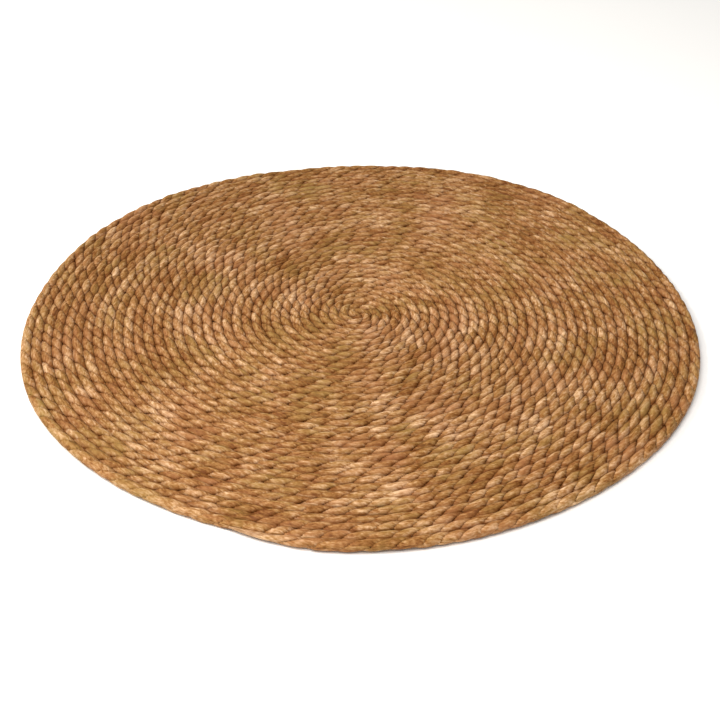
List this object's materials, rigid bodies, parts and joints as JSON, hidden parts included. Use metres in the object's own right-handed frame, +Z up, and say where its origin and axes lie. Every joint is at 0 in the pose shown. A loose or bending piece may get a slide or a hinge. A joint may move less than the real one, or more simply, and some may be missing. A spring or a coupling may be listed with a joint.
{
  "type": "chair seat pad",
  "caption": "Flat round seat pad wound as one spiral from two-ply twisted rush rope, sewn through its core, with a tapered outer end laid along the rim.",
  "frame": {"origin": "middle of the underside: centre of the bounding box at the height the pad rests on", "axes": "+Z up through the thickness; -Y towards the front edge, with the rope's tapered outer end a little to the left of it at the rim; +X to the right seen from the front"},
  "size_m": [0.3968, 0.4, 0.006],
  "materials": {
    "rush_leaf": "dry twisted leaf fibre, low sheen along the leaves",
    "sewing_thread": "matt twisted cotton"
  },
  "bodies": {
    "root": {"centre_tack": "sewing_thread", "ply_a_01": "rush_leaf", "ply_a_02": "rush_leaf", "ply_a_03": "rush_leaf", "ply_a_04": "rush_leaf", "ply_a_05": "rush_leaf", "ply_a_06": "rush_leaf", "ply_a_07": "rush_leaf", "ply_a_08": "rush_leaf", "ply_a_09": "rush_leaf", "ply_a_10": "rush_leaf", "ply_a_11": "rush_leaf", "ply_a_12": "rush_leaf", "ply_b_01": "rush_leaf", "ply_b_02": "rush_leaf", "ply_b_03": "rush_leaf", "ply_b_04": "rush_leaf", "ply_b_05": "rush_leaf", "ply_b_06": "rush_leaf", "ply_b_07": "rush_leaf", "ply_b_08": "rush_leaf", "ply_b_09": "rush_leaf", "ply_b_10": "rush_leaf", "ply_b_11": "rush_leaf", "ply_b_12": "rush_leaf", "ply_b_13": "rush_leaf", "sewing_row_01": "sewing_thread", "sewing_row_02": "sewing_thread", "sewing_row_03": "sewing_thread", "sewing_row_04": "sewing_thread", "sewing_row_05": "sewing_thread", "sewing_row_06": "sewing_thread", "sewing_row_07": "sewing_thread", "sewing_row_08": "sewing_thread", "sewing_row_09": "sewing_thread", "sewing_row_10": "sewing_thread", "sewing_row_11": "sewing_thread", "sewing_row_12": "sewing_thread", "sewing_row_13": "sewing_thread", "sewing_row_14": "sewing_thread", "sewing_row_15": "sewing_thread", "sewing_row_16": "sewing_thread", "tip_tack": "sewing_thread"}
  },
  "joints": []
}
